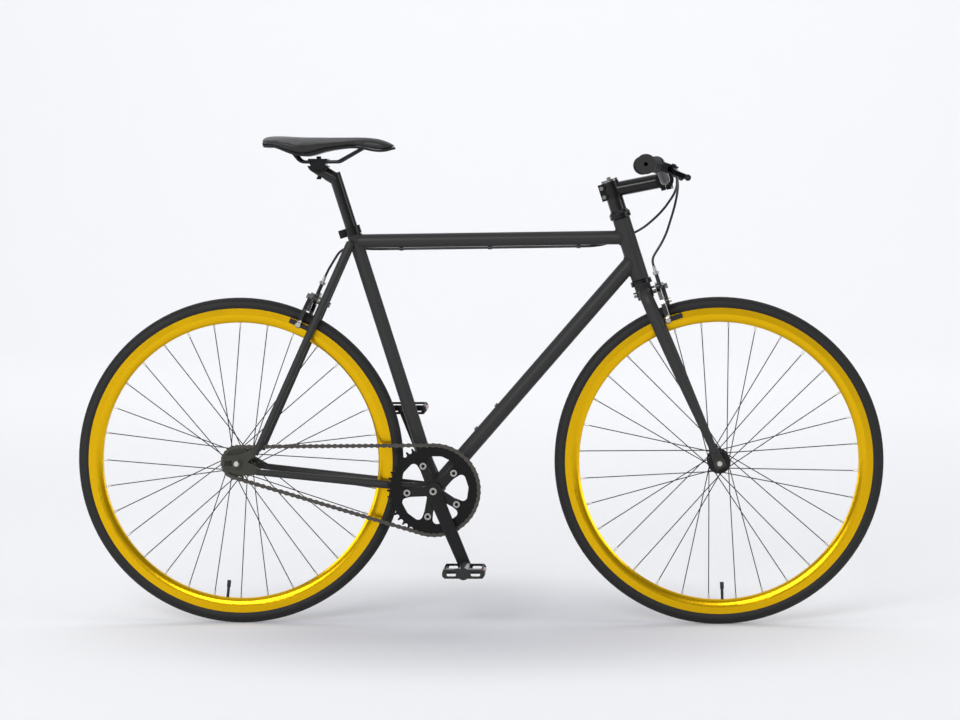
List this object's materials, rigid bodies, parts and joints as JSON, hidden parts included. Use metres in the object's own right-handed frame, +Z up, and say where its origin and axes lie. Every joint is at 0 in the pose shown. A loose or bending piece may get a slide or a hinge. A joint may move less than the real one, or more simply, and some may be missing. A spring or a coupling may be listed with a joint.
{
  "type": "fixed gear bike",
  "caption": "Fixed gear bicycle with a diamond frame, riser bar, side-pull rim brakes, a chain drive to a fixed sprocket, and deep-section spoked wheels.",
  "frame": {"origin": "on the ground, midway between the axles, in the bicycle's centre plane", "axes": "+X forward, +Y to the rider's left, +Z up; the chain is on the -Y side"},
  "size_m": [1.6689, 0.5864, 1.0108],
  "materials": {
    "frame_paint": "matte charcoal powder coat",
    "black_alloy": "black anodised alloy",
    "gold_alloy": "gold anodised alloy",
    "tyre_rubber": "matte black tread",
    "tube_rubber": "black rubber with a capped valve",
    "dark_steel": "dark oiled steel",
    "bright_steel": "bright zinc-plated steel",
    "grip_rubber": "matte ribbed rubber",
    "housing_cover": "black plastic-covered housing",
    "saddle_shell": "black moulded plastic",
    "saddle_cover": "black synthetic leather over foam"
  },
  "bodies": {
    "frame": {"head_tube": "frame_paint", "top_tube": "frame_paint", "seat_tube": "frame_paint", "bottom_bracket_shell": "frame_paint", "down_tube": "frame_paint", "bottle_bolts": "bright_steel", "rear_track_ends": "frame_paint", "chain_stays": "frame_paint", "seat_stays": "frame_paint", "stay_bridges": "frame_paint", "headset": "black_alloy", "bottom_bracket_cups": "dark_steel", "seat_clamp": "black_alloy", "cable_clips": "housing_cover", "rear_axle": "dark_steel", "rear_brake_pivot": "bright_steel", "rear_brake_housing": "housing_cover", "rear_steering_housing": "housing_cover", "chain": "dark_steel"},
    "steering": {"fork_blades": "frame_paint", "fork_steerer": "frame_paint", "headset_spacers": "black_alloy", "stem": "black_alloy", "stem_faceplate": "black_alloy", "stem_bolts": "bright_steel", "handlebar": "black_alloy", "grips": "grip_rubber", "lever_perches": "black_alloy", "front_axle": "dark_steel", "front_brake_pivot": "bright_steel", "front_brake_housing": "housing_cover"},
    "front_wheel": {"front_rim": "gold_alloy", "front_hub": "black_alloy", "front_tyre": "tyre_rubber", "front_spokes": "dark_steel", "front_inner_tube": "tube_rubber"},
    "rear_wheel": {"rear_rim": "gold_alloy", "rear_hub": "black_alloy", "rear_tyre": "tyre_rubber", "rear_spokes": "dark_steel", "rear_inner_tube": "tube_rubber", "rear_sprocket": "dark_steel"},
    "crankset": {"chainring": "black_alloy", "crank_right": "black_alloy", "crank_left": "black_alloy", "crank_bolts": "bright_steel", "crank_spindle": "dark_steel", "pedal_spindles": "dark_steel"},
    "right_pedal": {"pedal_right": "black_alloy"},
    "left_pedal": {"pedal_left": "black_alloy"},
    "right_lever": {"brake_lever_right": "black_alloy"},
    "left_lever": {"brake_lever_left": "black_alloy"},
    "front_barrel_arm": {"front_brake_barrel_arm": "black_alloy"},
    "front_anchor_arm": {"front_brake_anchor_arm": "black_alloy"},
    "rear_barrel_arm": {"rear_brake_barrel_arm": "black_alloy"},
    "rear_anchor_arm": {"rear_brake_anchor_arm": "black_alloy"},
    "post": {"seatpost": "black_alloy"},
    "seat": {"saddle": "saddle_cover", "saddle_base": "saddle_shell", "saddle_rails": "dark_steel"}
  },
  "joints": [
    {"name": "steering_turn", "type": "hinge", "parent": "frame", "child": "steering", "pos_m": [0.29492, 0, 0.83882], "axis": [-0.3007, 0, 0.9537], "range_deg": [-70, 70], "deforming": ["rear_steering_housing"]},
    {"name": "front_wheel_spin", "type": "hinge", "parent": "steering", "child": "front_wheel", "pos_m": [0.4955, 0, 0.339], "axis": [0, 1, 0], "continuous": true},
    {"name": "rear_wheel_spin", "type": "hinge", "parent": "frame", "child": "rear_wheel", "pos_m": [-0.4955, 0, 0.339], "axis": [0, 1, 0], "continuous": true, "deforming": ["chain"]},
    {"name": "crank_spin", "type": "hinge", "parent": "frame", "child": "crankset", "pos_m": [-0.09126, 0, 0.282], "axis": [0, 1, 0], "continuous": true},
    {"name": "right_pedal_spin", "type": "hinge", "parent": "crankset", "child": "right_pedal", "pos_m": [-0.02484, -0.1259, 0.12551], "axis": [0, 1, 0], "continuous": true},
    {"name": "left_pedal_spin", "type": "hinge", "parent": "crankset", "child": "left_pedal", "pos_m": [-0.15768, 0.1259, 0.43849], "axis": [0, 1, 0], "continuous": true},
    {"name": "right_lever_pull", "type": "hinge", "parent": "steering", "child": "right_lever", "pos_m": [0.39699, -0.14602, 0.93881], "axis": [-0.3212, 0.0529, -0.9455], "range_deg": [0, 20], "stiffness_Nm_per_rad": 1.5},
    {"name": "left_lever_pull", "type": "hinge", "parent": "steering", "child": "left_lever", "pos_m": [0.39699, 0.14602, 0.93881], "axis": [0.3212, 0.0529, 0.9455], "range_deg": [0, 20], "stiffness_Nm_per_rad": 1.5},
    {"name": "front_barrel_arm_turn", "type": "hinge", "parent": "steering", "child": "front_barrel_arm", "pos_m": [0.35894, 0, 0.69229], "axis": [0.9537, 0, 0.3007], "range_deg": [0, 1.39]},
    {"name": "front_anchor_arm_turn", "type": "hinge", "parent": "steering", "child": "front_anchor_arm", "pos_m": [0.35894, 0, 0.69229], "axis": [-0.9537, 0, -0.3007], "range_deg": [0, 1.39]},
    {"name": "rear_barrel_arm_turn", "type": "hinge", "parent": "frame", "child": "rear_barrel_arm", "pos_m": [-0.32544, 0, 0.66937], "axis": [-0.9117, 0, 0.4108], "range_deg": [0, 1.53]},
    {"name": "rear_anchor_arm_turn", "type": "hinge", "parent": "frame", "child": "rear_anchor_arm", "pos_m": [-0.32544, 0, 0.66937], "axis": [0.9117, 0, -0.4108], "range_deg": [0, 1.53]},
    {"name": "seatpost_height", "type": "slide", "parent": "frame", "child": "post", "axis": [-0.3007, 0, 0.9537], "range_m": [-0.09, 0.05]},
    {"name": "saddle_tilt", "type": "hinge", "parent": "post", "child": "seat", "pos_m": [-0.3285, 0, 0.95795], "axis": [0, 1, 0], "range_deg": [-10, 10]}
  ],
  "couplings": [
    {"joint": "crank_spin", "follows": "rear_wheel_spin", "ratio": 0.34783},
    {"joint": "front_barrel_arm_turn", "follows": "left_lever_pull", "ratio": 0.069},
    {"joint": "front_anchor_arm_turn", "follows": "left_lever_pull", "ratio": 0.069},
    {"joint": "rear_barrel_arm_turn", "follows": "right_lever_pull", "ratio": 0.076},
    {"joint": "rear_anchor_arm_turn", "follows": "right_lever_pull", "ratio": 0.076}
  ]
}
